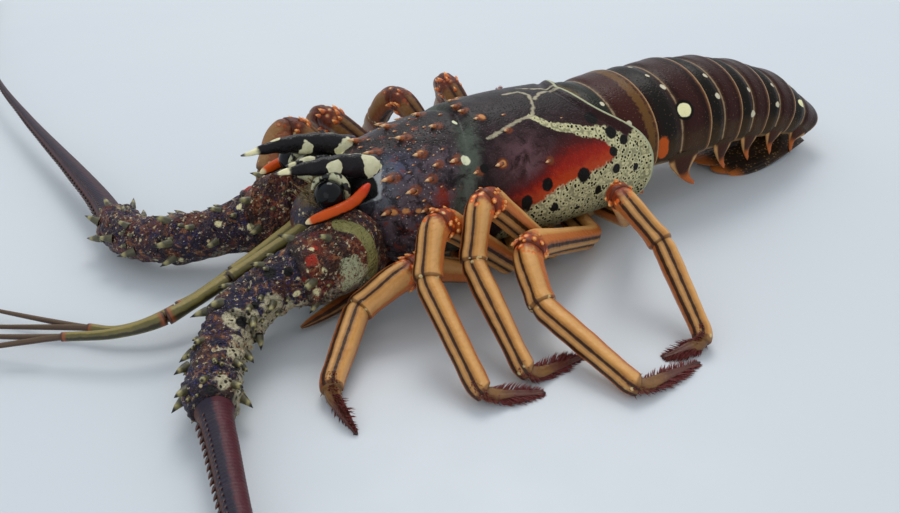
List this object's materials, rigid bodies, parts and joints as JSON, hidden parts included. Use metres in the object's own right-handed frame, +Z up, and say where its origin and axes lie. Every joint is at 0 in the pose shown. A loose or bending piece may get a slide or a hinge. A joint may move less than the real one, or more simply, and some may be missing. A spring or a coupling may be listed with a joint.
{
  "type": "spiny lobster",
  "caption": "Life-size model of a spiny lobster at rest, with horned head, spiny antennae spread to both sides, walking legs and the tail fan tucked under.",
  "frame": {"origin": "Floor level under the middle of the whole animal's outline, feelers included.", "axes": "+X runs from head to tail, +Y to the animal's right, the way the longest extent (the spread feelers) lies, and +Z is up."},
  "size_m": [0.4264, 0.9103, 0.0605],
  "materials": {
    "carapace_shell": "hard shell, mottled brown, maroon and cream, satin",
    "head_shell": "hard shell, dark purple-brown with cream specks, satin",
    "antenna_shell": "hard shell, dark purple with cream marbling, satin",
    "feeler": "hard shell, dark maroon, satin",
    "horn": "hard shell, black with pale yellow bands, satin",
    "eye": "glossy black cornea",
    "antennule": "hard shell, olive gold, satin",
    "leg_shell": "hard shell, orange tan with dark stripes, satin",
    "leg_tip": "hard shell under short stiff bristles, maroon brown",
    "tail_shell": "hard shell, dark maroon brown with cream spots, satin",
    "tail_fan": "leathery fan, brown with an orange edge",
    "underside": "pale tan underside plate, satin"
  },
  "bodies": {
    "root": {"carapace": "carapace_shell", "sternum": "underside", "tail_ring_1": "tail_shell", "tail_ring_2": "tail_shell", "tail_ring_3": "tail_shell", "tail_ring_4": "tail_shell", "tail_ring_5": "tail_shell", "tail_ring_6": "tail_shell", "telson": "tail_fan", "uropod_left": "tail_fan", "uropod_right": "tail_fan", "head_front": "head_shell", "antenna_left_base": "antenna_shell", "antenna_left_middle": "antenna_shell", "antenna_left_outer": "antenna_shell", "antenna_left_flagellum": "feeler", "horn_left": "horn", "eye_left": "eye", "antennule_left": "antennule", "maxilliped_left": "leg_shell", "leg_left_1_upper": "leg_shell", "leg_left_1_shank": "leg_shell", "leg_left_1_dactyl": "leg_tip", "leg_left_2_upper": "leg_shell", "leg_left_2_shank": "leg_shell", "leg_left_2_dactyl": "leg_tip", "leg_left_3_upper": "leg_shell", "leg_left_3_shank": "leg_shell", "leg_left_3_dactyl": "leg_tip", "leg_left_4_upper": "leg_shell", "leg_left_4_shank": "leg_shell", "leg_left_4_dactyl": "leg_tip", "leg_left_5_upper": "leg_shell", "leg_left_5_shank": "leg_shell", "leg_left_5_dactyl": "leg_tip", "antenna_right_base": "antenna_shell", "antenna_right_middle": "antenna_shell", "antenna_right_outer": "antenna_shell", "antenna_right_flagellum": "feeler", "horn_right": "horn", "eye_right": "eye", "antennule_right": "antennule", "maxilliped_right": "leg_shell", "leg_right_1_upper": "leg_shell", "leg_right_1_shank": "leg_shell", "leg_right_1_dactyl": "leg_tip", "leg_right_2_upper": "leg_shell", "leg_right_2_shank": "leg_shell", "leg_right_2_dactyl": "leg_tip", "leg_right_3_upper": "leg_shell", "leg_right_3_shank": "leg_shell", "leg_right_3_dactyl": "leg_tip", "leg_right_4_upper": "leg_shell", "leg_right_4_shank": "leg_shell", "leg_right_4_dactyl": "leg_tip", "leg_right_5_upper": "leg_shell", "leg_right_5_shank": "leg_shell", "leg_right_5_dactyl": "leg_tip"}
  },
  "joints": []
}
